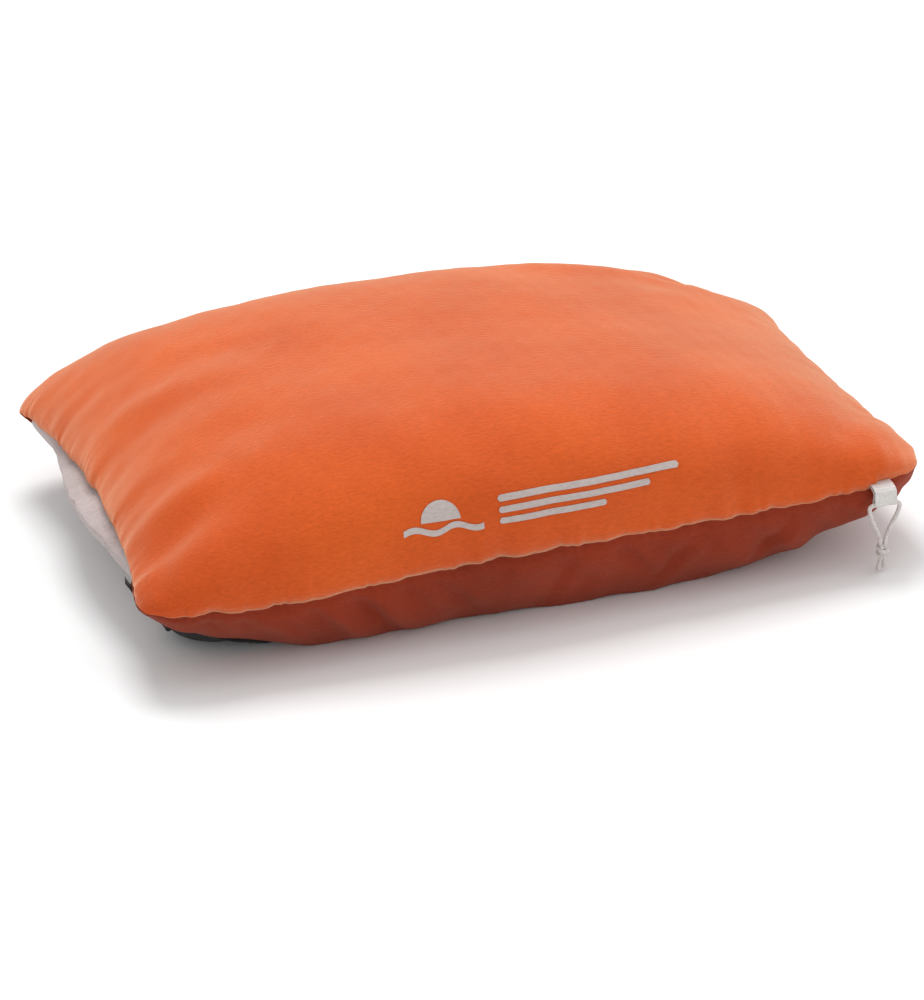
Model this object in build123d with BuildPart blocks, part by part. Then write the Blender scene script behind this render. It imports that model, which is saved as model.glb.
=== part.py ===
from build123d import *
import os
from math import cos, pi, radians, sin, tan

# Self-inflating camp pillow: a foam-core air cell with a two-stage valve in a removable fabric
# case. Millimetres, +Z up, X along the pillow, the front seam towards -Y. The origin lies on the
# standing surface, in the middle of the length.

# ---- the stuffed pillow -------------------------------------------------------------------------
LENGTH = 420.0          # from tip to tip along X
DEPTH = 247.0           # between the corners along Y
SEAM_Z = 43.0           # height of the side seam
SEAM_GAP = 0.2          # between the upper and the lower panels, where the thread holds them
CROWN_RISE = 63.0       # crown above the seam
BELLY_DROP = 61.4       # depth the underside would have if the floor did not flatten it
BOW = 0.03              # the long sides bow out by this share of the half depth
LEFT_PULL = 0.059       # the ends pull in by these shares of the half length
RIGHT_PULL = 0.028
CROWN_SHIFT = 0.108     # the crown lies left of the middle by this share of the half length
CASE_CLOTH = 1.0        # brushed knit of the case
BINDING = 1.4           # folded elastic on the mouth's edge
CELL_GAP = 1.9          # the cell's skin starts this far inside the case's outer face
CELL_SKIN = 0.6
FOAM_GAP = 5.5

# ---- the case's mouth ---------------------------------------------------------------------------
MOUTH_X = -122.0        # how far the mouth reaches along the underside
MOUTH_HALF = 104.0      # half its width there
MOUTH_END_HALF = 86.0   # half its width at the pillow's left end
MOUTH_CORNER = 32.0
BINDING_WIDTH = 5.0
CELL_BULGE = 0.055      # the cell's end swells out of the mouth by this share of the half length
BULGE_HALF = 0.7        # half width of that swelling, as a share of the half depth

# ---- the valve, in depths from the cap's outer face ---------------------------------------------
VALVE_X = -160.0
VALVE_Y = -72.0
VALVE_Z = 1.7
VALVE_TILT = 7.0        # degrees, so that the side towards the corner is the higher one
LID_TOP = 2.2
LID_PLATE = 3.0
LID_R = 20.0
SEAT_TOP = 5.5
SEAT_R = 21.0
SEAT_BORE_R = 17.0
FLANGE_TOP = 9.0
FLANGE_R = 23.5
SPIGOT_R = 18.2
SPIGOT_END = 13.5
SCREEN_TOP = 13.6
FIT = 0.1               # running clearance
GAP = 0.4               # clearance between parts that only pass each other
PORT_R = 4.7
TUBE_R = 6.5
TUBE_END = 9.5
SKIRT_R = 16.6
SKIRT_END = 9.7
CAP_R = 9.0
CAP_PLUG_R = 4.2
KNUCKLE_R = 1.6
PIN_R = 0.7
LID_HINGE_X = -23.2     # along the valve's own X
CAP_KNUCKLE_R = 1.1
CAP_HINGE_X = -10.8

# ---- the ribbon tab and its cord loop -----------------------------------------------------------
TAB_X = 174.0
TAB_Y = -129.6
TAB_Z = 46.0
TAB_WIDTH = 12.0
TAB_DROP = 7.0
TAB_THICK = 1.2
TAB_BEAD_R = 0.8
FOLD_R = 2.1            # outer radius of the fold that holds the cord
CORD_D = 2.2
KNOT_Z = 13.0
KNOT_R = 3.1
KNOT_HALF = 4.2         # half its height
TAIL_END_Z = 1.6

os.makedirs("parts", exist_ok=True)


# ---- the pillow's surfaces ----------------------------------------------------------------------
DOME_LEVELS = [0.0, 0.14, 0.32, 0.52, 0.7, 0.85, 0.94, 0.985]
BOWL_LEVELS = [0.0, 0.14, 0.32, 0.5, 0.62]
SEAM_LEVEL = 0.05       # the seam's outline has the rounded corners of this level
SIDE_POINTS = 10        # outline points on each of the four sides


def dome_fullness(u, v):
    """How high the upper side stands over (u, v), from 0 on the seam to 1 on the crown."""
    shifted = u + CROWN_SHIFT * (1 - u * u)
    return (1 - abs(shifted) ** 2.31) ** 0.654 * (1 - abs(v) ** 4.03) ** 0.38


def bowl_fullness(u, v):
    """The same for the underside, whose corners are lifted more."""
    return ((1 - abs(u) ** 3.13) * (1 - abs(v) ** 4.2)) ** 0.657


def level_reach(fullness, u, v, level):
    """How far out towards (u, v) the surface is still at or past a level."""
    inner = 0.0
    outer = 1.0
    for _ in range(30):
        middle = (inner + outer) / 2
        if fullness(middle * u, middle * v) > level:
            inner = middle
        else:
            outer = middle
    return inner


def plan_point(u, v, inset, bulge):
    """The place in plan of (u, v), both from -1 to 1, on a pillow drawn in by an inset."""
    pull = LEFT_PULL if u < 0 else RIGHT_PULL
    swell = max(0.0, 1 - (v / BULGE_HALF) ** 2) ** 2 * bulge if u < 0 else 0.0
    x = (LENGTH / 2 - inset) * u * (1 - (pull * (1 - v * v) - swell) * u * u)
    y = (DEPTH / 2 - inset) * v * (1 + BOW * (1 - u * u) * v * v)
    return x, y


def outline(fullness, level, inset, bulge=0.0):
    """The closed outline of a pillow surface at a level."""
    points = []
    for side in range(4):
        for step in range(SIDE_POINTS):
            turn = pi / 2 * (side + step / SIDE_POINTS)
            u = cos(turn) / max(abs(cos(turn)), abs(sin(turn)))
            v = sin(turn) / max(abs(cos(turn)), abs(sin(turn)))
            reach = level_reach(fullness, u, v, max(level, SEAM_LEVEL))
            points.append(plan_point(reach * u, reach * v, inset, bulge))
    return points


def outline_face(z, points):
    """An outline drawn as a face at a height."""
    with BuildSketch(Plane.XY.offset(z)) as face:
        with BuildLine():
            Spline(points, periodic=True)
        make_face()
    return face.sketch


def dome_sections(inset):
    """Outlines of the upper half from the seam to the crown, drawn in by an inset."""
    sections = []
    for level in DOME_LEVELS:
        z = SEAM_Z + level * (CROWN_RISE - inset)
        sections.append(outline_face(z, outline(dome_fullness, level, inset)))
    return sections


def bowl_sections(inset, bulge=0.0):
    """Outlines of the lower half from the seam to its flat bottom."""
    sections = []
    top = SEAM_Z - SEAM_GAP
    bottom = (top - inset) / (BELLY_DROP - inset)
    for level in BOWL_LEVELS + [bottom]:
        z = top - level * (BELLY_DROP - inset)
        sections.append(outline_face(z, outline(bowl_fullness, level, inset, bulge)))
    return sections


def add_dome(inset, mode=Mode.ADD):
    """Loft the upper half."""
    loft(dome_sections(inset), mode=mode)


def add_bowl(inset, bulge=0.0, mode=Mode.ADD):
    """Loft the lower half."""
    loft(bowl_sections(inset, bulge), mode=mode)


# ---- the valve's own frame ----------------------------------------------------------------------
VALVE_LEAN = radians(VALVE_TILT)
VALVE_OUT = Vector(-sin(VALVE_LEAN) * 0.8, -sin(VALVE_LEAN) * 0.6, -cos(VALVE_LEAN))
VALVE_PLANE = Plane(origin=(VALVE_X, VALVE_Y, VALVE_Z), x_dir=(1, 0, 0), z_dir=VALVE_OUT)


def at_depth(depth):
    """The plane square to the valve's axis, this deep behind the cap's outer face."""
    return VALVE_PLANE.offset(-depth)


def ring(top, bottom, outer, inner=0.0, mode=Mode.ADD):
    """A disc or ring round the valve's axis between two depths."""
    with BuildSketch(at_depth(bottom)) as profile:
        Circle(outer)
        if inner:
            Circle(inner, mode=Mode.SUBTRACT)
    extrude(profile.sketch, amount=bottom - top, mode=mode)


def block(top, bottom, x_from, x_to, width, y=0.0, mode=Mode.ADD):
    """A block between two depths, from x to x in the valve's frame."""
    with BuildSketch(at_depth(bottom)) as profile:
        with Locations(((x_from + x_to) / 2, y)):
            Rectangle(x_to - x_from, width)
    extrude(profile.sketch, amount=bottom - top, mode=mode)


def across(radius, x, depth, y_from, y_to, mode=Mode.ADD):
    """A round bar along the valve's Y, for knuckles and hinge pins."""
    side = Plane(origin=VALVE_PLANE.from_local_coords((x, y_from, -depth)),
                 x_dir=VALVE_PLANE.x_dir, z_dir=VALVE_PLANE.y_dir)
    with BuildSketch(side) as profile:
        Circle(radius)
    extrude(profile.sketch, amount=y_to - y_from, mode=mode)


def torus(depth, radius, section):
    """An O-ring round the valve's axis."""
    side = Plane(origin=VALVE_PLANE.origin, x_dir=VALVE_PLANE.x_dir, z_dir=-VALVE_PLANE.y_dir)
    with BuildSketch(side) as profile:
        with Locations((radius, -depth)):
            Circle(section)
    revolve(profile.sketch, axis=Axis(VALVE_PLANE.origin, VALVE_PLANE.z_dir))


# ---- the case -----------------------------------------------------------------------------------
with BuildPart() as case_top:
    add_dome(0)
    add_dome(CASE_CLOTH, mode=Mode.SUBTRACT)


def mouth_prism(margin, mode):
    """The mouth's shape in plan, run up through the case's lower half."""
    end = -LENGTH / 2
    half = MOUTH_HALF + margin
    end_half = MOUTH_END_HALF + margin
    with BuildSketch() as mouth:
        with BuildLine():
            Polyline((end, -end_half), (MOUTH_X + margin, -half), (MOUTH_X + margin, half),
                     (end, end_half), close=True)
        make_face()
        fillet(mouth.vertices().sort_by(Axis.X)[-2:], MOUTH_CORNER + margin)
    extrude(mouth.sketch, amount=SEAM_Z + 1, mode=mode)


with BuildPart() as case_bottom:
    add_bowl(0)
    add_bowl(CASE_CLOTH, mode=Mode.SUBTRACT)
    mouth_prism(BINDING_WIDTH, Mode.SUBTRACT)

with BuildPart() as mouth_binding:
    add_bowl(0)
    add_bowl(BINDING, mode=Mode.SUBTRACT)
    mouth_prism(BINDING_WIDTH - SEAM_GAP, Mode.INTERSECT)
    mouth_prism(0, Mode.SUBTRACT)

# ---- the air cell and its foam ------------------------------------------------------------------
POCKET_R = FLANGE_R + 1
POCKET_TOP = FLANGE_TOP + 1.0
FOAM_POCKET_R = 30.0
FOAM_POCKET_TOP = 18.0
BELOW = -30.0           # a depth well outside the pillow

with BuildPart() as cell_top:
    add_dome(CELL_GAP)
    add_dome(CELL_GAP + CELL_SKIN, mode=Mode.SUBTRACT)

with BuildPart() as cell_room:
    add_bowl(CELL_GAP + CELL_SKIN)
    ring(BELOW, POCKET_TOP + CELL_SKIN, POCKET_R + CELL_SKIN, mode=Mode.SUBTRACT)

with BuildPart() as cell_bottom:
    add_bowl(CELL_GAP, bulge=CELL_BULGE)
    ring(BELOW, POCKET_TOP, POCKET_R, mode=Mode.SUBTRACT)
    add(cell_room.part, mode=Mode.SUBTRACT)
    ring(POCKET_TOP - 1, SPIGOT_END + 1, SPIGOT_R + FIT + 1.3, mode=Mode.SUBTRACT)

CORE_HOLES = 9
CORE_STEP = 34.0
CORE_R = 8.0

with BuildPart() as foam_core:
    loft(bowl_sections(FOAM_GAP)[:0:-1] + dome_sections(FOAM_GAP))
    with BuildSketch(Plane.XZ):
        with Locations((0, SEAM_Z + 10)):
            with GridLocations(CORE_STEP, 0, CORE_HOLES, 1):
                Circle(CORE_R)
    extrude(amount=DEPTH, both=True, mode=Mode.SUBTRACT)
    ring(BELOW, FOAM_POCKET_TOP, FOAM_POCKET_R, mode=Mode.SUBTRACT)

# ---- the valve ----------------------------------------------------------------------------------
SPIGOT_BORE = SPIGOT_R + FIT
COLLAR = 1.2            # wall of the flange's collar round the spigot
EAR_WIDTH = 2.4
LID_KNUCKLE_WIDTH = 8.0
EAR_FROM = LID_KNUCKLE_WIDTH / 2 + GAP
HINGE_DEPTH = SEAT_TOP

with BuildPart() as valve_flange:
    ring(FLANGE_TOP, POCKET_TOP - 0.1, FLANGE_R, SPIGOT_BORE)
    ring(FLANGE_TOP, SPIGOT_END, SPIGOT_BORE + COLLAR, SPIGOT_BORE)

SCREEN_HOLES = 8
SCREEN_HOLE_R = 3.2
OUTER_HOLES_R = 12.2
INNER_HOLES_R = 4.6
SCREEN_THICK = 1.0

with BuildPart() as valve_screen:
    ring(SCREEN_TOP, SCREEN_TOP + SCREEN_THICK, SPIGOT_BORE + COLLAR)
    with BuildSketch(at_depth(SCREEN_TOP + 2)):
        with PolarLocations(OUTER_HOLES_R, SCREEN_HOLES):
            Circle(SCREEN_HOLE_R)
        with PolarLocations(INNER_HOLES_R, 3):
            Circle(SCREEN_HOLE_R)
    extrude(amount=4, mode=Mode.SUBTRACT)

with BuildPart() as valve_seat:
    ring(SEAT_TOP, FLANGE_TOP, SEAT_R, SEAT_BORE_R)
    ring(FLANGE_TOP, SPIGOT_END, SPIGOT_R, SEAT_BORE_R)
    for side in (-1, 1):
        ear = side * (EAR_FROM + EAR_WIDTH / 2)
        across(KNUCKLE_R, LID_HINGE_X, HINGE_DEPTH, ear - EAR_WIDTH / 2, ear + EAR_WIDTH / 2)
        block(HINGE_DEPTH + GAP, HINGE_DEPTH + KNUCKLE_R, LID_HINGE_X, -SEAT_R + 2,
              EAR_WIDTH, ear)
    across(PIN_R, LID_HINGE_X, HINGE_DEPTH, -EAR_FROM, EAR_FROM)

CAP_EAR_FROM = 2.4
CAP_EAR_WIDTH = 1.6
CAP_PIN_R = 0.45
CAP_HINGE_DEPTH = LID_TOP - CAP_KNUCKLE_R

SKIRT_WALL = 1.6
LID_SEAL_DEPTH = 7.0
LID_SEAL_R = 0.45
LID_GROOVE = 0.6

with BuildPart() as deflate_lid:
    ring(LID_TOP, LID_TOP + LID_PLATE, LID_R, PORT_R)
    ring(LID_TOP + LID_PLATE, TUBE_END, TUBE_R, PORT_R)
    ring(LID_TOP + LID_PLATE, SKIRT_END, SKIRT_R, SKIRT_R - SKIRT_WALL)
    ring(LID_SEAL_DEPTH - 0.8, LID_SEAL_DEPTH + 0.8, SKIRT_R + 1, SKIRT_R - LID_GROOVE,
         mode=Mode.SUBTRACT)
    ring(TUBE_END - 1.4, TUBE_END - 0.6, PORT_R)
    with BuildSketch(at_depth(TUBE_END)):
        with PolarLocations(2.9, 3):
            Circle(1.3)
        Circle(1.1 + FIT)
    extrude(amount=2, mode=Mode.SUBTRACT)
    block(LID_TOP + 1, LID_TOP + LID_PLATE, LID_HINGE_X, -LID_R + 1, LID_KNUCKLE_WIDTH)
    across(KNUCKLE_R, LID_HINGE_X, HINGE_DEPTH, -LID_KNUCKLE_WIDTH / 2, LID_KNUCKLE_WIDTH / 2)
    across(PIN_R + FIT, LID_HINGE_X, HINGE_DEPTH, -LID_KNUCKLE_WIDTH, LID_KNUCKLE_WIDTH,
           mode=Mode.SUBTRACT)
    for side in (-1, 1):
        ear = side * (CAP_EAR_FROM + CAP_EAR_WIDTH / 2)
        across(CAP_KNUCKLE_R, CAP_HINGE_X, CAP_HINGE_DEPTH, ear - CAP_EAR_WIDTH / 2,
               ear + CAP_EAR_WIDTH / 2)
        block(CAP_HINGE_DEPTH, LID_TOP + 0.2, CAP_HINGE_X - CAP_KNUCKLE_R,
              CAP_HINGE_X + CAP_KNUCKLE_R, CAP_EAR_WIDTH, ear)
    across(CAP_PIN_R, CAP_HINGE_X, CAP_HINGE_DEPTH, -CAP_EAR_FROM, CAP_EAR_FROM)

with BuildPart() as lid_seal:
    torus(LID_SEAL_DEPTH, SKIRT_R - LID_GROOVE + LID_SEAL_R + 0.02, LID_SEAL_R)

BUTTON_TOP = 5.2
BUTTON_R = 3.2
STEM_R = 1.1
DIAPHRAGM_R = 8.0

with BuildPart() as release_button:
    ring(BUTTON_TOP, BUTTON_TOP + 1, BUTTON_R)
    ring(BUTTON_TOP + 1, TUBE_END + 0.2, STEM_R)
    ring(TUBE_END + 0.2, TUBE_END + 1.2, STEM_R - 0.2)
    ring(TUBE_END + 1.2, TUBE_END + 2.0, STEM_R + 0.5)

with BuildPart() as check_diaphragm:
    ring(TUBE_END + 0.15, TUBE_END + 1.15, DIAPHRAGM_R, STEM_R + 0.05)

CAP_TOP = 0.0
CAP_UNDER = LID_TOP - 0.3
CAP_PLUG_WALL = 0.9
CAP_PLUG_END = 4.6
CAP_SEAL_DEPTH = 3.1
CAP_SEAL_R = 0.37
CAP_GROOVE = 0.35

with BuildPart() as inflate_cap:
    ring(CAP_TOP, CAP_UNDER, CAP_R)
    ring(CAP_UNDER, CAP_PLUG_END, CAP_PLUG_R, CAP_PLUG_R - CAP_PLUG_WALL)
    ring(CAP_SEAL_DEPTH - 0.5, CAP_SEAL_DEPTH + 0.5, CAP_PLUG_R + 1, CAP_PLUG_R - CAP_GROOVE,
         mode=Mode.SUBTRACT)
    block(CAP_HINGE_DEPTH - 0.6, CAP_HINGE_DEPTH + 0.6, CAP_HINGE_X, -CAP_R + 1,
          2 * (CAP_EAR_FROM - 0.3))
    across(CAP_KNUCKLE_R - 0.1, CAP_HINGE_X, CAP_HINGE_DEPTH, -CAP_EAR_FROM + 0.3,
           CAP_EAR_FROM - 0.3)
    across(CAP_PIN_R + FIT, CAP_HINGE_X, CAP_HINGE_DEPTH, -CAP_EAR_FROM, CAP_EAR_FROM,
           mode=Mode.SUBTRACT)

with BuildPart() as cap_seal:
    torus(CAP_SEAL_DEPTH, CAP_PLUG_R - CAP_GROOVE + CAP_SEAL_R + 0.02, CAP_SEAL_R)

# ---- the ribbon tab and its cord loop -----------------------------------------------------------
FOLD_Z = TAB_Z - TAB_DROP

with BuildPart() as hang_tab:
    with BuildSketch(Plane.YZ.offset(TAB_X - TAB_WIDTH / 2)):
        with Locations((TAB_Y, TAB_Z)):
            Circle(TAB_BEAD_R)
        with Locations((TAB_Y, (TAB_Z + FOLD_Z) / 2)):
            Rectangle(TAB_THICK, TAB_Z - FOLD_Z)
        with Locations((TAB_Y, FOLD_Z)):
            Circle(FOLD_R)
            Circle(CORD_D / 2 + FIT, mode=Mode.SUBTRACT)
    extrude(amount=TAB_WIDTH)

KNOT_TOP = KNOT_Z + 2.6
LOOP_ROUTE = [
    (TAB_X - 1.3, TAB_Y, KNOT_TOP),
    (TAB_X - 1.5, TAB_Y, KNOT_TOP + 3.9),
    (TAB_X - 4.9, TAB_Y, KNOT_TOP + 10.6),
    (TAB_X - 8.0, TAB_Y, FOLD_Z - 5.6),
    (TAB_X - 8.6, TAB_Y, FOLD_Z),
    (TAB_X + 8.6, TAB_Y, FOLD_Z),
    (TAB_X + 7.9, TAB_Y, FOLD_Z - 5.8),
    (TAB_X + 4.4, TAB_Y, KNOT_TOP + 10.9),
    (TAB_X + 1.4, TAB_Y, KNOT_TOP + 3.8),
    (TAB_X + 1.3, TAB_Y, KNOT_TOP),
]


def route_radii(route):
    """The largest arc that the runs on both sides of each corner leave room for."""
    radii = []
    for before, corner, after in zip(route, route[1:], route[2:]):
        run_in = Vector(corner) - Vector(before)
        run_out = Vector(after) - Vector(corner)
        half_turn = radians(run_in.get_angle(run_out)) / 2
        radii.append(0.45 * min(run_in.length, run_out.length) / tan(half_turn))
    return radii


loop_radii = route_radii(LOOP_ROUTE)

with BuildPart() as hang_loop:
    with BuildLine() as loop_path:
        FilletPolyline(*LOOP_ROUTE, radius=loop_radii)
    with BuildSketch(Plane(origin=LOOP_ROUTE[0], z_dir=loop_path.line % 0)):
        Circle(CORD_D / 2)
    sweep()

with BuildPart() as loop_knot:
    with BuildSketch(Plane.XZ.offset(-TAB_Y)):
        with Locations((TAB_X, KNOT_Z)):
            Ellipse(KNOT_R, KNOT_HALF)
            Rectangle(2 * KNOT_R, 3 * KNOT_R, align=(Align.MAX, Align.CENTER), mode=Mode.SUBTRACT)
    revolve(axis=Axis((TAB_X, TAB_Y, KNOT_Z), (0, 0, 1)))
    split(bisect_by=Plane.XY.offset(KNOT_TOP), keep=Keep.BOTTOM)
    with Locations((TAB_X - 1.3, TAB_Y, TAIL_END_Z), (TAB_X + 1.2, TAB_Y, TAIL_END_Z + 0.5)):
        Cylinder(CORD_D / 2, KNOT_Z - TAIL_END_Z, align=(Align.CENTER, Align.CENTER, Align.MIN))

print("loop radii", [round(radius, 1) for radius in loop_radii])
print("loop length", round(sum(edge.length for edge in loop_path.edges()), 1))

# ---- one STEP for each piece --------------------------------------------------------------------
PIECES = {
    "case_top": case_top,
    "case_bottom": case_bottom,
    "mouth_binding": mouth_binding,
    "cell_top": cell_top,
    "cell_bottom": cell_bottom,
    "foam_core": foam_core,
    "valve_flange": valve_flange,
    "valve_screen": valve_screen,
    "valve_seat": valve_seat,
    "deflate_lid": deflate_lid,
    "lid_seal": lid_seal,
    "release_button": release_button,
    "check_diaphragm": check_diaphragm,
    "inflate_cap": inflate_cap,
    "cap_seal": cap_seal,
    "hang_tab": hang_tab,
    "hang_loop": hang_loop,
    "loop_knot": loop_knot,
}

for name, piece in PIECES.items():
    piece.part.label = name
    export_step(piece.part, f"parts/{name}.step")
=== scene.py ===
from math import cos, pi, radians, sin

import bpy
import numpy as np
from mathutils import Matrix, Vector


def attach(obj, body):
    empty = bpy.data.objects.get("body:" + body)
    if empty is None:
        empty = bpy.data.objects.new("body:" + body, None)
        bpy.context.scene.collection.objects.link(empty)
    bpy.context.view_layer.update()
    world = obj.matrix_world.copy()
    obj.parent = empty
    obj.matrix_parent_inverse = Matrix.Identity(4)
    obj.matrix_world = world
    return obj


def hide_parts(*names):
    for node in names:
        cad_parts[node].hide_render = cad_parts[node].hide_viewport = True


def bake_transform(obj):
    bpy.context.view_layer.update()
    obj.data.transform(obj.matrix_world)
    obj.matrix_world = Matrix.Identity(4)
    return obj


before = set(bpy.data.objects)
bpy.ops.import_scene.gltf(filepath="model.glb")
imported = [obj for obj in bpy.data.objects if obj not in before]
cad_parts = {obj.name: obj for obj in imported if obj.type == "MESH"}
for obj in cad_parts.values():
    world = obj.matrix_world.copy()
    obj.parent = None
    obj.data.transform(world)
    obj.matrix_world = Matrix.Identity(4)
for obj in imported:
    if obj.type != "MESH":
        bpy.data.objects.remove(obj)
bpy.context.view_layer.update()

# Self-inflating camp pillow. Metres, +Z up, X along the pillow, the front seam towards -Y.

# ---- camera and stage ---------------------------------------------------------------------------
VIEW_AZIMUTH = radians(-20.4)
VIEW_ELEVATION = radians(26.2)
VIEW_DISTANCE = 1.946
VIEW_TARGET = Vector((0.0, 0.0, 0.05))


def make_camera():
    """The camera at the pillow's front left, a little above it."""
    data = bpy.data.cameras.new("camera")
    data.lens = 137.2
    data.shift_x = -0.0044
    data.shift_y = -0.0712
    camera = bpy.data.objects.new("camera", data)
    bpy.context.scene.collection.objects.link(camera)
    back = Vector((
        sin(VIEW_AZIMUTH) * cos(VIEW_ELEVATION),
        -cos(VIEW_AZIMUTH) * cos(VIEW_ELEVATION),
        sin(VIEW_ELEVATION),
    ))
    camera.location = VIEW_TARGET + back * VIEW_DISTANCE
    camera.rotation_euler = back.to_track_quat("Z", "Y").to_euler()
    bpy.context.scene.camera = camera


make_camera()

# ---- the pillow's shape -------------------------------------------------------------------------
MM = 0.001
HALF_LENGTH = 210.0 * MM
HALF_DEPTH = 123.5 * MM
SEAM_Z = 43.0 * MM
CROWN_RISE = 62.5 * MM
BELLY_DROP = 61.4 * MM
BOW = 0.030
LEFT_PULL = 0.059
RIGHT_PULL = 0.028
CROWN_SHIFT = 0.108
LIP_RISE = 6.0 * MM      # the mouth's upper lip stands this much above the seam
CASE_CLOTH = 1.0 * MM
CORNER_RADII = {(-1, -1): 24.0 * MM, (1, -1): 38.0 * MM, (1, 1): 46.0 * MM, (-1, 1): 22.0 * MM}
CELL_INSET = 2.4 * MM
CELL_DEEPER = 2.6 * MM   # how much further in the cell lies where the case covers it
CELL_BULGE = 0.055
BULGE_HALF = 0.72
FOAM_INSET = 7.5 * MM


class Shape:
    """One skin of the pillow: points and arc distances over a grid of (u, v) from -1 to 1."""

    def __init__(self, upper, inset=0.0, bulge=0.0, lip=0.0, columns=321, rows=221):
        across = np.sin(np.linspace(-1, 1, columns) * pi / 2)
        along = np.sin(np.linspace(-1, 1, rows) * pi / 2)
        self.u, self.v = np.meshgrid(across, along, indexing="ij")
        self.upper = upper
        self.inset = inset
        self.bulge = bulge
        self.lip = lip
        self.points = self.place(self.u, self.v)

    def place(self, u, v):
        """The points of the smooth skin at (u, v)."""
        seam = seam_height(u, v, self.lip)
        if self.upper:
            shifted = u + CROWN_SHIFT * (1 - u * u)
            fullness = (np.clip(1 - abs(shifted) ** 2.31, 0, 1) ** 0.654
                        * np.clip(1 - abs(v) ** 4.03, 0, 1) ** 0.38)
            fullness = fullness * (1 - 0.5 * np.exp(-((u - 1) / 0.26) ** 2 - ((v - 1) / 0.42) ** 2))
            z = seam + (CROWN_RISE - self.inset) * fullness
        else:
            front_full = 4.2 + 1.8 * np.exp(-((u - 0.4) / 0.45) ** 2) * (v < 0)
            end_full = 3.13 - 0.9 * (u > 0) * np.clip(-v, 0, 1) ** 2
            fullness = (np.clip(1 - abs(u) ** end_full, 0, 1)
                        * np.clip(1 - abs(v) ** front_full, 0, 1)) ** 0.657
            z = np.maximum(seam - (BELLY_DROP - self.inset) * fullness, self.inset)
        pull = np.where(u < 0, LEFT_PULL, RIGHT_PULL)
        swell = np.clip(1 - (v / BULGE_HALF) ** 2, 0, 1) ** 2 * self.bulge * (u < 0)
        if self.upper:
            swell = swell * np.clip(1 - (z - seam) / (5 * MM), 0, 1)
        x = (HALF_LENGTH - self.inset) * u * (1 - (pull * (1 - v * v) - swell) * u * u)
        y = (HALF_DEPTH - self.inset) * v * (1 + BOW * (1 - u * u) * v * v)
        x, y = self.round_corners(x, y, u, v)
        return np.stack([x, y, z], axis=-1)

    def round_corners(self, x, y, u, v):
        """Draw the four sewn corners in to their radii."""
        new_x, new_y = np.array(x), np.array(y)
        for (side_x, side_y), radius in CORNER_RADII.items():
            from_x = HALF_LENGTH - self.inset - radius
            from_y = HALF_DEPTH - self.inset - radius
            a = np.clip((x * side_x - from_x) / radius, 0, 1)
            b = np.clip((y * side_y - from_y) / radius, 0, 1)
            corner = (a > 0) & (b > 0)
            new_x = np.where(corner, side_x * (from_x + radius * a * np.sqrt(1 - b * b / 2)), new_x)
            new_y = np.where(corner, side_y * (from_y + radius * b * np.sqrt(1 - a * a / 2)), new_y)
        return new_x, new_y

    def normals(self):
        """Outward unit normals of the grid."""
        du = np.gradient(self.points, axis=0)
        dv = np.gradient(self.points, axis=1)
        normal = np.cross(du, dv)
        normal /= np.maximum(np.linalg.norm(normal, axis=-1, keepdims=True), 1e-12)
        return normal if self.upper else -normal

    def edge_distances(self):
        """Arc distances from the front, back, left and right edges."""
        step_v = np.linalg.norm(np.diff(self.points, axis=1), axis=-1)
        step_u = np.linalg.norm(np.diff(self.points, axis=0), axis=-1)
        front = np.concatenate([np.zeros((len(self.u), 1)), np.cumsum(step_v, axis=1)], axis=1)
        left = np.concatenate([np.zeros((1, self.u.shape[1])), np.cumsum(step_u, axis=0)], axis=0)
        return front, front[:, -1:] - front, left, left[-1:, :] - left


def seam_height(u, v, lip):
    """The height of the side seam, or of its level inside the pillow."""
    front_dip = -5.5 * MM * np.exp(-((u + 0.66) / 0.27) ** 2)
    front_rise = 4.5 * MM * np.exp(-((u - 0.93) / 0.16) ** 2)
    front_share = np.clip(-v, 0, 1) ** 3
    lip_share = np.where(u < 0, (1 - v * v) * u * u, 0)
    waver = 0.5 * MM * np.sin(u * 37 + 1) + 0.3 * MM * np.sin(u * 83 + 0.4)
    side_waver = 0.5 * MM * np.sin(v * 23 + 2) + 0.3 * MM * np.sin(v * 51)
    waver = waver * np.clip(abs(v), 0, 1) ** 12 + side_waver * np.clip(abs(u), 0, 1) ** 12
    return SEAM_Z + (front_dip + front_rise) * front_share + lip * lip_share + waver


def waves(points, wavelength, seed, count=7):
    """Smooth irregular waves, about -1 to 1, of a wavelength in metres."""
    rng = np.random.default_rng(seed)
    total = np.zeros(points.shape[:-1])
    for _ in range(count):
        direction = rng.normal(size=3)
        direction /= np.linalg.norm(direction)
        length = wavelength * rng.uniform(0.7, 1.4)
        total += np.sin(points @ direction * 2 * pi / length + rng.uniform(0, 2 * pi))
    return total / np.sqrt(count)


def ripples(along, wavelength, seed):
    """Uneven ripples along an edge: a carrier whose phase and height wander."""
    rng = np.random.default_rng(seed)
    phase = along * 2 * pi / wavelength
    for share in (0.11, 0.23, 0.41):
        phase = phase + 1.3 * np.sin(along * 2 * pi / wavelength * share + rng.uniform(0, 2 * pi))
    height = 0.6 + 0.4 * np.sin(along * 2 * pi / wavelength * 0.17 + rng.uniform(0, 2 * pi))
    return np.sin(phase) * height


def crease(points, start, end, width, depth):
    """A valley along a line in plan, fading out at its two ends."""
    a = np.array(start)
    b = np.array(end)
    run = b - a
    length = np.linalg.norm(run)
    offset = points[..., :2] - a
    t = offset @ run / length ** 2
    side = (offset[..., 0] * run[1] - offset[..., 1] * run[0]) / length
    fade = np.exp(-np.clip(abs(t - 0.5) - 0.35, 0, None) ** 2 / 0.03)
    valley = -np.exp(-(side / width) ** 2)
    shoulder = 0.55 * np.exp(-((side - 1.9 * width) / (1.2 * width)) ** 2)
    return depth * fade * (valley + shoulder)


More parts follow.
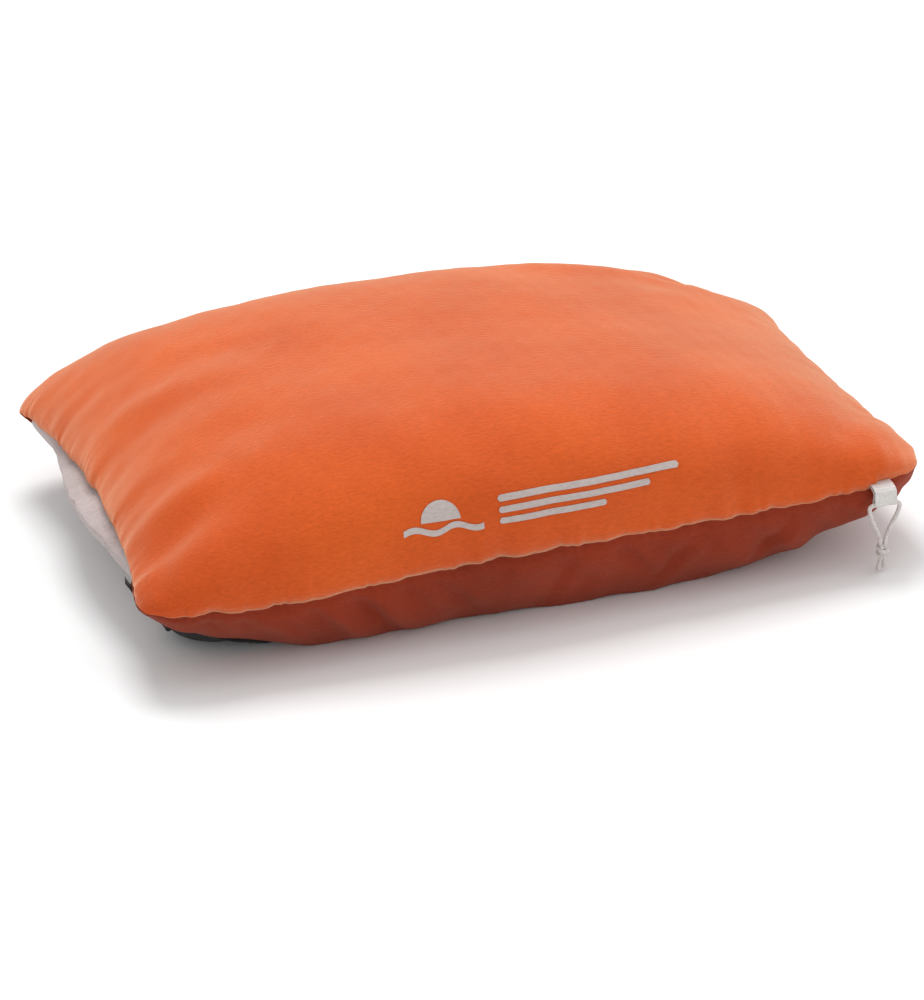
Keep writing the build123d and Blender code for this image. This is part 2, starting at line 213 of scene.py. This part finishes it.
def edge_ripple(x, y, edges):
    """Puckers along the seam, the same on both panels, and the tuck that the stitches pull in."""
    front, back, left, right = edges
    relief = np.zeros(x.shape)
    for edge, along, seed in ((front, x, 21), (back, x, 22), (left, y, 23), (right, y, 24)):
        relief += 0.50 * MM * ripples(along, 0.0085, seed) * np.exp(-edge / 0.006)
        relief += 0.75 * MM * ripples(along, 0.027, seed + 10) * np.exp(-edge / 0.020)
        relief -= 1.9 * MM * np.exp(-(edge / 0.0026) ** 2)
    return relief


def corner_calm(edges):
    """From 0 at the corners to 1 away from them."""
    front, back, left, right = edges
    reach = np.hypot(np.minimum(front, back), np.minimum(left, right))
    return np.clip((reach - 3 * MM) / (27 * MM), 0, 1)


def relief_upper(shape):
    """How far the top panel stands out from its smooth form."""
    points = shape.points
    edges = shape.edge_distances()
    front, back, left, right = edges
    inner = 1 - np.exp(-(np.minimum(np.minimum(front, back), np.minimum(left, right)) / 0.006) ** 2)
    x = points[..., 0]
    y = points[..., 1]
    relief = 0.9 * MM * waves(points, 0.16, 11)
    relief += 0.35 * MM * waves(points, 0.055, 12)
    relief += 0.10 * MM * waves(points, 0.016, 13)
    for edge, along, seed in ((front, x, 41), (back, x, 42), (left, y, 43), (right, y, 44)):
        relief += 1.10 * MM * ripples(along, 0.062, seed) * np.exp(-edge / 0.045)
    relief += 1.6 * MM * ripples(y, 0.052, 31) * np.exp(-((left - 0.045) / 0.035) ** 2)
    relief += crease(points, (0.055, 0.108), (0.172, 0.080), 0.0085, 3.4 * MM)
    relief += crease(points, (0.120, 0.060), (0.196, 0.098), 0.0120, 1.6 * MM)
    relief += crease(points, (0.158, -0.112), (0.196, -0.060), 0.0080, 1.8 * MM)
    relief += crease(points, (-0.196, -0.100), (-0.140, -0.070), 0.0110, 1.5 * MM)
    relief += crease(points, (-0.198, -0.020), (-0.120, -0.046), 0.0140, 1.5 * MM)
    relief += crease(points, (-0.190, 0.060), (-0.100, 0.030), 0.0140, 1.3 * MM)
    return relief * inner * corner_calm(edges) + edge_ripple(x, y, edges) * corner_calm(edges)


def relief_lower(shape):
    """How far the underside panel stands out: looser cloth with slanting folds."""
    points = shape.points
    edges = shape.edge_distances()
    front, back, left, right = edges
    inner = 1 - np.exp(-(np.minimum(np.minimum(front, back), np.minimum(left, right)) / 0.005) ** 2)
    x = points[..., 0]
    y = points[..., 1]
    relief = 1.1 * MM * waves(points, 0.07, 61)
    relief += 0.40 * MM * waves(points, 0.024, 62)
    slanted = x + 0.8 * points[..., 2]
    for edge, along, seed in ((front, slanted, 51), (back, x, 52), (left, y, 53), (right, y, 54)):
        near = np.exp(-((edge - 0.010) / 0.014) ** 2)
        further = np.exp(-((edge - 0.022) / 0.022) ** 2)
        relief += 1.30 * MM * ripples(along, 0.021, seed + 10) * near
        relief += 2.10 * MM * ripples(along, 0.047, seed + 20) * further
    for start, slant, depth in ((-0.150, 0.9, 1.6), (-0.112, 0.9, 2.0), (-0.062, 0.7, 1.5),
                                (0.010, -0.3, 1.2), (0.074, -0.5, 1.4), (0.128, -0.6, 1.5)):
        across_fold = x - start - slant * (SEAM_Z - points[..., 2])
        valley = np.exp(-(across_fold / 0.0045) ** 2)
        ridge = np.exp(-((across_fold - 0.009) / 0.005) ** 2)
        fold = valley - 0.6 * ridge
        relief -= depth * MM * fold * np.exp(-((front - 0.020) / 0.020) ** 2)
    return relief * inner * corner_calm(edges) + edge_ripple(x, y, edges) * corner_calm(edges)


def grid_mesh(name, points, keep=None, flip=False):
    """A mesh object from a grid of points, without the faces that keep leaves out."""
    columns, rows = points.shape[:2]
    index = np.arange(columns * rows).reshape(columns, rows)
    quads = np.stack([index[:-1, :-1], index[1:, :-1], index[1:, 1:], index[:-1, 1:]], axis=-1)
    if keep is not None:
        quads = quads[keep]
    quads = quads.reshape(-1, 4)
    if flip:
        quads = quads[:, ::-1]
    used, faces = np.unique(quads, return_inverse=True)
    mesh = bpy.data.meshes.new(name)
    mesh.from_pydata(points.reshape(-1, 3)[used].tolist(), [], faces.reshape(-1, 4).tolist())
    mesh.shade_smooth()
    obj = bpy.data.objects.new(name, mesh)
    bpy.context.scene.collection.objects.link(obj)
    return obj


def solidify(obj, thickness):
    """Give a sheet its thickness, inwards."""
    layer = obj.modifiers.new("thickness", "SOLIDIFY")
    layer.thickness = thickness
    layer.offset = -1


# ---- material helpers ---------------------------------------------------------------------------
def new_material(name, roughness):
    """A Principled material and its node tools."""
    material = bpy.data.materials.new(name)
    material.use_nodes = True
    nodes = material.node_tree.nodes
    shader = nodes["Principled BSDF"]
    shader.inputs["Roughness"].default_value = roughness
    return material, nodes, material.node_tree.links, shader


def noise(nodes, links, coords, scale, detail=3.0, stretch=(1, 1, 1), roughness=0.5):
    """A noise texture in object coordinates."""
    mapping = nodes.new("ShaderNodeMapping")
    mapping.inputs["Scale"].default_value = stretch
    links.new(coords, mapping.inputs["Vector"])
    texture = nodes.new("ShaderNodeTexNoise")
    texture.inputs["Scale"].default_value = scale
    texture.inputs["Detail"].default_value = detail
    texture.inputs["Roughness"].default_value = roughness
    links.new(mapping.outputs["Vector"], texture.inputs["Vector"])
    return texture.outputs["Fac"]


def ramp(nodes, links, value, low, high, from_value=0.3, to_value=0.7):
    """A colour ramp between two colours."""
    node = nodes.new("ShaderNodeValToRGB")
    node.color_ramp.elements[0].position = from_value
    node.color_ramp.elements[1].position = to_value
    node.color_ramp.elements[0].color = (*low, 1)
    node.color_ramp.elements[1].color = (*high, 1)
    links.new(value, node.inputs["Fac"])
    return node.outputs["Color"]


def blend_colours(nodes, links, first, second, factor, mode="MIX"):
    """Mix two colour outputs."""
    node = nodes.new("ShaderNodeMix")
    node.data_type = "RGBA"
    node.blend_type = mode
    if isinstance(factor, float):
        node.inputs["Factor"].default_value = factor
    else:
        links.new(factor, node.inputs["Factor"])
    links.new(first, node.inputs[6])
    links.new(second, node.inputs[7])
    return node.outputs[2]


def bump(nodes, links, shader, height, distance, strength=1.0, under=None):
    """A bump layer on the shader's normal, over another one if given."""
    node = nodes.new("ShaderNodeBump")
    node.inputs["Strength"].default_value = strength
    node.inputs["Distance"].default_value = distance
    links.new(height, node.inputs["Height"])
    if under is not None:
        links.new(under, node.inputs["Normal"])
    links.new(node.outputs["Normal"], shader.inputs["Normal"])
    return node.outputs["Normal"]


def knit_material(name, dark, light, sheen, sheen_tint, grain=1.0):
    """Brushed knit: soft nap in short strands, fine speckle and a broad unevenness."""
    material, nodes, links, shader = new_material(name, 0.85)
    coords = nodes.new("ShaderNodeTexCoord").outputs["Object"]
    broad = noise(nodes, links, coords, 14, 3)
    nap = noise(nodes, links, coords, 900, 4, (0.35, 1, 1), 0.65)
    speckle = noise(nodes, links, coords, 3200, 2)
    base = ramp(nodes, links, broad, dark, light, 0.25, 0.75)
    shade = ramp(nodes, links, nap, (0.80, 0.78, 0.76), (1.0, 1.0, 1.0), 0.25, 0.65)
    colour = blend_colours(nodes, links, base, shade, 1.0, "MULTIPLY")
    dots = ramp(nodes, links, speckle, (0.90, 0.90, 0.90), (1.0, 1.0, 1.0), 0.3, 0.6)
    colour = blend_colours(nodes, links, colour, dots, 1.0, "MULTIPLY")
    links.new(colour, shader.inputs["Base Color"])
    shader.inputs["Sheen Weight"].default_value = sheen
    shader.inputs["Sheen Roughness"].default_value = 0.45
    shader.inputs["Sheen Tint"].default_value = (*sheen_tint, 1)
    shader.inputs["Specular IOR Level"].default_value = 0.15
    under = bump(nodes, links, shader, nap, 0.00035 * grain)
    bump(nodes, links, shader, speckle, 0.00010 * grain, under=under)
    return material


def woven_material(name, dark, light, period, roughness=0.7, sheen=0.2):
    """Plain weave: crossing threads as two sets of bands, with painted shade in the gaps between
    them.
    """
    material, nodes, links, shader = new_material(name, roughness)
    coords = nodes.new("ShaderNodeTexCoord").outputs["Object"]
    bands = []
    for axis in ("X", "Z"):
        wave = nodes.new("ShaderNodeTexWave")
        wave.bands_direction = axis
        wave.inputs["Scale"].default_value = 0.314 / period
        wave.inputs["Distortion"].default_value = 0.4
        links.new(coords, wave.inputs["Vector"])
        bands.append(wave.outputs["Fac"])
    cross = nodes.new("ShaderNodeMath")
    cross.operation = "MULTIPLY"
    links.new(bands[0], cross.inputs[0])
    links.new(bands[1], cross.inputs[1])
    fuzz = noise(nodes, links, coords, 700, 4)
    base = ramp(nodes, links, fuzz, dark, light, 0.3, 0.7)
    # painted shade: the gaps between the crossing threads are darker than the threads
    painted_gap_shade = ramp(nodes, links, cross.outputs[0], (0.78, 0.77, 0.76), (1, 1, 1), 0.0, 0.5)
    links.new(blend_colours(nodes, links, base, painted_gap_shade, 1.0, "MULTIPLY"), shader.inputs["Base Color"])
    shader.inputs["Sheen Weight"].default_value = sheen
    under = bump(nodes, links, shader, cross.outputs[0], 0.00012)
    bump(nodes, links, shader, fuzz, 0.00008, under=under)
    return material


def plastic_material(name, dark, light, roughness=0.45):
    """Moulded plastic with a fine spark-eroded skin and faint handling marks."""
    material, nodes, links, shader = new_material(name, roughness)
    coords = nodes.new("ShaderNodeTexCoord").outputs["Object"]
    marks = noise(nodes, links, coords, 90, 5)
    skin = noise(nodes, links, coords, 4000, 2)
    links.new(ramp(nodes, links, marks, dark, light), shader.inputs["Base Color"])
    bump(nodes, links, shader, skin, 0.00004)
    return material


def foam_material(name):
    """Open-cell foam: pores of mixed size, with painted shade darkening the pores."""
    material, nodes, links, shader = new_material(name, 0.9)
    coords = nodes.new("ShaderNodeTexCoord").outputs["Object"]
    pores = nodes.new("ShaderNodeTexVoronoi")
    pores.inputs["Scale"].default_value = 700
    links.new(coords, pores.inputs["Vector"])
    # painted shade: darker towards each pore's middle, where the bump dips
    links.new(ramp(nodes, links, pores.outputs["Distance"], (0.35, 0.28, 0.14), (0.75, 0.66, 0.42),
                   0.1, 0.5), shader.inputs["Base Color"])
    bump(nodes, links, shader, pores.outputs["Distance"], 0.0006)
    return material


ORANGE = knit_material("orange brushed knit", (0.60, 0.076, 0.0095), (0.73, 0.111, 0.014),
                       0.75, (1.0, 0.74, 0.50))
RUST = knit_material("rust brushed knit", (0.235, 0.029, 0.010), (0.33, 0.040, 0.014),
                     0.15, (0.9, 0.5, 0.38), 1.4)
CELL = knit_material("pale coated fabric", (0.46, 0.385, 0.375), (0.57, 0.495, 0.485),
                     0.10, (1.0, 0.95, 0.93), 0.5)
BLACK_ELASTIC = woven_material("black elastic", (0.008, 0.007, 0.007), (0.022, 0.019, 0.018),
                               0.0011, 0.8)
RIBBON = woven_material("pale ribbon", (0.70, 0.66, 0.63), (0.82, 0.79, 0.77), 0.0007, 0.5)
CORD = woven_material("pale braided cord", (0.62, 0.56, 0.54), (0.80, 0.75, 0.73), 0.0009, 0.75)
PRINT = knit_material("pale print", (0.50, 0.43, 0.41), (0.60, 0.53, 0.51), 0.05, (1, 1, 1), 0.6)
BLACK_PLASTIC = plastic_material("black moulded plastic", (0.006, 0.005, 0.005),
                                 (0.014, 0.011, 0.011), 0.55)
PALE_PLASTIC = plastic_material("pale moulded plastic", (0.50, 0.47, 0.45), (0.60, 0.57, 0.55))
SEAL = plastic_material("seal rubber", (0.03, 0.03, 0.03), (0.06, 0.06, 0.06), 0.7)
FOAM = foam_material("open cell foam")


def finish_piece(obj, material, body, slot, *nodes):
    """Give a piece its material and body, and hide the CAD nodes it stands for; slot is not used.
    """
    obj.data.materials.clear()
    obj.data.materials.append(material)
    if nodes:
        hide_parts(*nodes)
    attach(obj, body)


# ---- the case -----------------------------------------------------------------------------------
def make_case_top():
    """The orange top panel with its seam puckers and folds."""
    shape = Shape(upper=True, lip=LIP_RISE, columns=461, rows=321)
    shape.points = shape.points + shape.normals() * relief_upper(shape)[..., None]
    obj = grid_mesh("top_panel", shape.points)
    solidify(obj, CASE_CLOTH)
    finish_piece(obj, ORANGE, "pillow", "orange_knit", "case_top")
    return shape


MOUTH_X = -0.120
MOUTH_HALF = 0.104
MOUTH_END_HALF = 0.082
MOUTH_CORNER = 0.034
BACK_END_X = -0.188      # the binding's back end, out of sight under the lip
BACK_WIDER = 0.034       # the mouth runs nearly into the back corner


def in_mouth(x, y):
    """Whether a point in plan lies in the mouth."""
    side = abs(y)
    slope = (MOUTH_HALF - MOUTH_END_HALF) / (HALF_LENGTH + MOUTH_X)
    limit = MOUTH_END_HALF + (x + HALF_LENGTH) * slope
    limit = limit + np.where(y > 0, np.clip((-0.165 - x) / 0.045, 0, 1) * BACK_WIDER, 0)
    inside = (side < limit) & (x < MOUTH_X)
    corner_x = x - (MOUTH_X - MOUTH_CORNER)
    corner_y = side - (MOUTH_HALF - MOUTH_CORNER)
    beyond = (corner_x > 0) & (corner_y > 0) & (np.hypot(corner_x, corner_y) > MOUTH_CORNER)
    return inside & ~beyond


def make_case_bottom():
    """The rust underside panel, open at the mouth."""
    shape = Shape(upper=False, columns=461, rows=321)
    points = shape.points + shape.normals() * relief_lower(shape)[..., None]
    points[..., 2] = np.maximum(points[..., 2], 0.0003)
    shape.points = points
    centres = (points[:-1, :-1] + points[1:, 1:]) / 2
    keep = ~in_mouth(centres[..., 0], centres[..., 1])
    obj = grid_mesh("bottom_panel", points, keep, flip=True)
    solidify(obj, CASE_CLOTH)
    finish_piece(obj, RUST, "pillow", "rust_knit", "case_bottom")
    return shape


case_top = make_case_top()
case_bottom = make_case_bottom()


def tube_curve(name, points, radius, order=3):
    """A NURBS tube through a list of control points."""
    curve = bpy.data.curves.new(name, "CURVE")
    curve.dimensions = "3D"
    curve.bevel_depth = radius
    curve.bevel_resolution = 5
    curve.resolution_u = 12
    spline = curve.splines.new("NURBS")
    spline.points.add(len(points) - 1)
    for point, place in zip(spline.points, points):
        point.co = (*place, 1)
    spline.order_u = order
    spline.use_endpoint_u = True
    obj = bpy.data.objects.new(name, curve)
    bpy.context.scene.collection.objects.link(obj)
    return obj


def lower_height(x, y):
    """The height of the underside panel at a place in plan."""
    u, v = x / HALF_LENGTH, y / HALF_DEPTH
    for _ in range(12):
        place = SMOOTH_LOWER.place(np.array(u), np.array(v))
        u = float(np.clip(u + (x - place[0]) / HALF_LENGTH, -1, 1))
        v = float(np.clip(v + (y - place[1]) / HALF_DEPTH, -1, 1))
    return float(place[2])


SMOOTH_LOWER = Shape(upper=False, columns=5, rows=5)


def mouth_edge():
    """Points round the mouth's edge, from the front left corner to the back one."""
    slope = (MOUTH_HALF - MOUTH_END_HALF) / (HALF_LENGTH + MOUTH_X)
    plan = []
    turn_x = MOUTH_X - MOUTH_CORNER
    for x in np.linspace(-0.2045, turn_x, 22):
        plan.append((x, -(MOUTH_END_HALF + (x + HALF_LENGTH) * slope)))
    edge_y = -(MOUTH_END_HALF + (turn_x + HALF_LENGTH) * slope)
    for turn in np.linspace(0.05, pi / 2, 12):
        plan.append((turn_x + MOUTH_CORNER * sin(turn),
                     edge_y + MOUTH_CORNER * (1 - cos(turn))))
    quarter = plan[-1][1]
    for y in np.linspace(quarter, 0, 14)[1:]:
        plan.append((MOUTH_X, y))
    for x, y in [place for place in reversed(plan[:-1]) if place[0] > BACK_END_X]:
        wider = float(np.clip((-0.165 - x) / 0.045, 0, 1)) * BACK_WIDER
        plan.append((x, -y + wider))
    return [(x, y, lower_height(x, y)) for x, y in plan]


def make_binding():
    """The folded elastic round the mouth's edge, gathered in small ripples."""
    edge = np.array(mouth_edge())
    run = np.gradient(edge, axis=0)
    run /= np.linalg.norm(run, axis=1, keepdims=True)
    outward = np.cross(run, (0, 0, 1.0))
    outward /= np.linalg.norm(outward, axis=1, keepdims=True)
    steps = 9
    sides = 16
    rings = []
    for i in range((len(edge) - 1) * steps + 1):
        t = i / steps
        k = min(int(t), len(edge) - 2)
        share = t - k
        place = edge[k] * (1 - share) + edge[k + 1] * share
        flat = outward[k] * (1 - share) + outward[k + 1] * share
        swell = 1 + 0.10 * sin(i * 1.9) + 0.06 * sin(i * 0.77)
        ring = []
        for j in range(sides):
            turn = 2 * pi * j / sides
            offset = flat * cos(turn) * 0.0030 * swell
            up = np.array((0, 0, 1.0)) * sin(turn) * 0.0012 * swell
            ring.append(place + offset + up + np.array((0, 0, 0.0010)))
        rings.append(ring)
    points = np.array(rings)
    points = np.concatenate([points, points[:, :1]], axis=1)
    points[..., 2] = np.maximum(points[..., 2], 0.0002)
    obj = grid_mesh("mouth_binding_band", points)
    finish_piece(obj, BLACK_ELASTIC, "pillow", "black_elastic", "mouth_binding")


make_binding()


# ---- the air cell and its foam ------------------------------------------------------------------
VALVE_PLACE = (-0.160, -0.072)
CELL_POCKET = (24.5 * MM, 11.5 * MM)     # radius and height of the room left for the valve
FOAM_POCKET = (30.0 * MM, 19.0 * MM)
POCKET_EDGE = 2 * MM
UPPER_COVER_X = -0.190   # the case starts to cover the cell here, above and below
LOWER_COVER_X = -0.150
COVER_LENGTH = 0.030     # and covers it fully this much further on
COVER_Y = 0.098          # beside the mouth the case covers it from here out


def closed_skin(name, inset, bulge, ripple, pocket_radius, pocket_top):
    """A closed skin of the cell or the foam from its two halves, with room for the valve."""
    objects = []
    for upper in (True, False):
        shape = Shape(upper=upper, inset=inset, bulge=bulge, columns=241, rows=161)
        left = shape.edge_distances()[2]
        x = shape.points[..., 0]
        y = shape.points[..., 1]
        cover_x = UPPER_COVER_X if upper else LOWER_COVER_X
        covered = np.clip((x - cover_x) / COVER_LENGTH, 0, 1)
        covered = np.maximum(covered, np.clip((abs(y) - COVER_Y) / 0.010, 0, 1))
        own = ripple * waves(shape.points, 0.05, 61)
        own += ripple * 1.6 * ripples(y, 0.021, 62) * np.exp(-((left - 0.006) / 0.012) ** 2)
        case = relief_upper(shape) if upper else relief_lower(shape)
        relief = own * (1 - covered) + (np.minimum(case, 0) - CELL_DEEPER) * covered - ripple
        points = shape.points + shape.normals() * relief[..., None]
        points[..., 2] = np.maximum(points[..., 2], inset)
        if not upper:
            reach = np.hypot(points[..., 0] - VALVE_PLACE[0], points[..., 1] - VALVE_PLACE[1])
            inside = np.clip((pocket_radius + POCKET_EDGE - reach) / POCKET_EDGE, 0, 1)
            roof = pocket_top * inside
            points[..., 2] = np.maximum(points[..., 2], roof)
        objects.append(grid_mesh(name, points, flip=not upper))
    for obj in objects:
        obj.select_set(True)
    bpy.context.view_layer.objects.active = objects[0]
    with bpy.context.temp_override(active_object=objects[0], selected_editable_objects=objects):
        bpy.ops.object.join()
    weld = objects[0].modifiers.new("weld", "WELD")
    weld.merge_threshold = 0.0009
    return objects[0]


air_cell = closed_skin("air_cell_skin", CELL_INSET, CELL_BULGE, 0.5 * MM, *CELL_POCKET)
finish_piece(air_cell, CELL, "pillow", "pale_coated_fabric", "cell_top", "cell_bottom")
foam_block = closed_skin("foam_block", FOAM_INSET + 1.5 * MM, 0.0, 0.3 * MM, *FOAM_POCKET)
finish_piece(foam_block, FOAM, "pillow", "core_foam", "foam_core")


# ---- the print on the front ---------------------------------------------------------------------
PRINT_LIFT = 0.3 * MM
PRINT_X = -0.078         # the mark's left end
PRINT_Z = 0.0682         # the height of the mark's middle on the front slope
SLOPE_RISE = 0.93        # how much higher a length up that slope is
TOP_NORMALS = case_top.normals()
FRONT_ROWS = 100         # the grid rows of the front slope


def on_top(x, height):
    """Points just off the finished top panel's front slope, at a place along it and a height."""
    columns, rows = case_top.u.shape
    middle = case_top.points[:, rows // 20, 0]
    places = np.empty((*x.shape, 3))
    for index in np.ndindex(x.shape):
        i = np.interp(x[index], middle, np.arange(columns))
        low = min(int(i), columns - 2)
        share = i - low
        place = 0
        for column, weight in ((low, 1 - share), (low + 1, share)):
            heights = np.maximum.accumulate(case_top.points[column, :FRONT_ROWS, 2])
            row = np.interp(height[index], heights, np.arange(FRONT_ROWS))
            base = min(int(row), rows - 2)
            part = row - base
            lifted = case_top.points[column] + TOP_NORMALS[column] * PRINT_LIFT
            place = place + weight * (lifted[base] * (1 - part) + lifted[base + 1] * part)
        places[index] = place
    return places


def print_patch(name, s_from, s_to, t_low, t_high, columns, rows=12):
    """A printed patch: s runs along the mark from its left end and t up the slope, in metres."""
    s = np.linspace(s_from, s_to, columns)[:, None]
    share = np.linspace(0, 1, rows)[None, :]
    t = t_low(s) * (1 - share) + t_high(s) * share
    return grid_mesh(name, on_top(PRINT_X + s + 0 * t, PRINT_Z + t * SLOPE_RISE))


def make_print():
    """A generic mark in pale ink: a half sun over a wave, then three bars."""
    patches = []
    radius = 0.0100
    centre = 0.019
    patches.append(print_patch(
        "print_sun", centre - radius, centre + radius, lambda s: 0 * s,
        lambda s: np.sqrt(np.clip(radius ** 2 - (s - centre) ** 2, 0, None)), 49))
    patches.append(print_patch(
        "print_wave", 0.0, 0.040, lambda s: -0.0058 + 0.0014 * np.sin(s * 300),
        lambda s: -0.0026 + 0.0014 * np.sin(s * 300), 61, 6))
    bars = ((0.048, 0.144, 0.0052, 0.0084), (0.048, 0.128, -0.0004, 0.0028),
            (0.048, 0.104, -0.0060, -0.0028))
    for number, (s_from, s_to, low, high) in enumerate(bars):
        half = (high - low) / 2
        middle = (high + low) / 2

        def reach(s, s_from=s_from, s_to=s_to, half=half):
            end = np.minimum(s - s_from, s_to - s)
            inside = np.clip(half - end, 0, half)
            return np.sqrt(np.clip(half ** 2 - inside ** 2, 0, None))

        patches.append(print_patch(
            f"print_bar_{number}", s_from, s_to, lambda s, r=reach, m=middle: m - r(s),
            lambda s, r=reach, m=middle: m + r(s), 121, 6))
    for patch in patches:
        finish_piece(patch, PRINT, "pillow", "pale_print")


make_print()

# ---- the ribbon tab and the cord loop -----------------------------------------------------------
TAB_X = 0.174
TAB_Y = -0.1296
FOLD_Z = 0.039
ROOT_Z = 0.0462
SEAM_ROOT_Z = 0.0470     # where the ribbon comes out of the seam
CORD_R = 0.0011
LOOP_ROUTE = [
    (0.1727, -0.1296, 0.0156),
    (0.1725, -0.1296, 0.0195),
    (0.1691, -0.1296, 0.0262),
    (0.1660, -0.1296, 0.0334),
    (0.1654, -0.1296, 0.0390),
    (0.1826, -0.1296, 0.0390),
    (0.1819, -0.1296, 0.0332),
    (0.1784, -0.1296, 0.0265),
    (0.1754, -0.1296, 0.0194),
    (0.1753, -0.1296, 0.0156),
]


def make_tab():
    """The ribbon, folded round the cord and stitched shut above it."""
    thickness = 0.0005
    fold = CORD_R + 0.0002
    section = [(0.0085, SEAM_ROOT_Z), (0.0045, SEAM_ROOT_Z - 0.0001), (0.0014, ROOT_Z),
               (-0.00025, 0.0450), (-0.00055, FOLD_Z + 0.0032)]
    for step in range(13):
        turn = pi * step / 12
        section.append((-fold * cos(turn), FOLD_Z - fold * sin(turn)))
    section += [(0.00055, FOLD_Z + 0.0032), (0.00090, 0.0443), (0.0023, 0.0452),
                (0.0050, SEAM_ROOT_Z - 0.0010), (0.0085, SEAM_ROOT_Z - 0.0009)]
    dense = []
    for (y0, z0), (y1, z1) in zip(section, section[1:]):
        for share in np.linspace(0, 1, 5)[:-1]:
            dense.append((y0 + (y1 - y0) * share, z0 + (z1 - z0) * share))
    dense.append(section[-1])
    width = 0.0117
    points = []
    for column in np.linspace(-0.5, 0.5, 41):
        row = []
        for y, z in dense:
            drop = max(0.0, (ROOT_Z - z) / (ROOT_Z - FOLD_Z))
            lean = 0.0002 * sin(column * 9) * drop
            row.append((TAB_X + column * width * (1 + 0.02 * drop), TAB_Y + y + lean, z))
        points.append(row)
    obj = grid_mesh("ribbon_tab", np.array(points), flip=True)
    layer = obj.modifiers.new("thickness", "SOLIDIFY")
    layer.thickness = thickness
    layer.offset = 1
    obj.data.materials.append(RIBBON)
    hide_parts("hang_tab")
    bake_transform(obj)


make_tab()


def make_loop():
    """The cord loop through the ribbon, with its knot and two tails."""
    loop = tube_curve("cord_loop", LOOP_ROUTE, CORD_R)
    finish_piece(loop, CORD, "loop", "pale_cord", "hang_loop")
    centre = Vector((TAB_X, TAB_Y, 0.0125))
    wraps = []
    turns = 1.6
    count = 34
    for step in range(count + 1):
        share = step / count
        turn = 2 * pi * turns * share + 0.4
        radius = 0.0021 + 0.0003 * sin(share * pi)
        wraps.append((centre.x + radius * cos(turn), centre.y + radius * sin(turn) * 0.85,
                      centre.z + 0.0024 - 0.0052 * share + 0.0006 * sin(turn)))
    knot_parts = [tube_curve("loop_knot_wraps", wraps, CORD_R)]
    knot_parts.append(tube_curve("tail_front", [
        (0.1729, -0.1302, 0.0158), (0.1731, -0.1302, 0.0120), (0.1729, -0.1300, 0.0080),
        (0.1723, -0.1298, 0.0045), (0.1719, -0.1297, 0.0018)], CORD_R))
    knot_parts.append(tube_curve("tail_back", [
        (0.1751, -0.1290, 0.0158), (0.1749, -0.1290, 0.0120), (0.1750, -0.1292, 0.0080),
        (0.1753, -0.1294, 0.0050), (0.1752, -0.1296, 0.0025)], CORD_R))
    for part in knot_parts:
        part.data.use_fill_caps = True
        part.data.materials.append(CORD)
        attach(part, "loop")
    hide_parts("loop_knot")


make_loop()

# ---- the valve's CAD parts ----------------------------------------------------------------------
VALVE_FINISH = {
    "valve_flange": PALE_PLASTIC,
    "valve_screen": PALE_PLASTIC,
    "release_button": PALE_PLASTIC,
    "valve_seat": BLACK_PLASTIC,
    "deflate_lid": BLACK_PLASTIC,
    "inflate_cap": BLACK_PLASTIC,
    "lid_seal": SEAL,
    "cap_seal": SEAL,
    "check_diaphragm": SEAL,
}
for node, material in VALVE_FINISH.items():
    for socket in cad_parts[node].material_slots:
        socket.material = material


# ---- floor and light ----------------------------------------------------------------------------
def make_floor():
    """A plain pale floor that runs out of sight."""
    size = 8.0
    corners = [(-size, -size, 0), (size, -size, 0), (size, size, 0), (-size, size, 0)]
    mesh = bpy.data.meshes.new("floor")
    mesh.from_pydata(corners, [], [(0, 1, 2, 3)])
    floor = bpy.data.objects.new("floor", mesh)
    bpy.context.scene.collection.objects.link(floor)
    material, nodes, links, shader = new_material("pale floor", 0.9)
    shader.inputs["Base Color"].default_value = (0.86, 0.87, 0.87, 1)
    mesh.materials.append(material)


def area_light(name, place, target, size, power):
    """A soft square light in white."""
    data = bpy.data.lights.new(name, "AREA")
    data.size = size
    data.energy = power
    light = bpy.data.objects.new(name, data)
    light.location = place
    direction = Vector(target) - Vector(place)
    light.rotation_euler = direction.to_track_quat("-Z", "Y").to_euler()
    bpy.context.scene.collection.objects.link(light)


def make_light():
    """Soft studio light from above and behind, and a surround that is brighter towards +X."""
    world = bpy.data.worlds.new("surround")
    world.use_nodes = True
    world.node_tree.nodes["Background"].inputs["Color"].default_value = (1, 1, 1, 1)
    nodes = world.node_tree.nodes
    links = world.node_tree.links
    split = nodes.new("ShaderNodeSeparateXYZ")
    links.new(nodes.new("ShaderNodeTexCoord").outputs["Generated"], split.inputs[0])
    sideways = nodes.new("ShaderNodeMapRange")
    sideways.inputs["From Min"].default_value = -1
    sideways.inputs["To Min"].default_value = 0.62
    sideways.inputs["To Max"].default_value = 1.10
    links.new(split.outputs["X"], sideways.inputs["Value"])
    links.new(sideways.outputs["Result"], nodes["Background"].inputs["Strength"])
    bpy.context.scene.world = world
    middle = (0, 0, 0.05)
    area_light("key", (0.0, 0.85, 2.1), middle, 0.9, 25)
    area_light("top", (0.3, 0.1, 2.4), middle, 1.6, 6)
    bpy.context.scene.view_settings.view_transform = "Standard"


make_floor()
make_light()
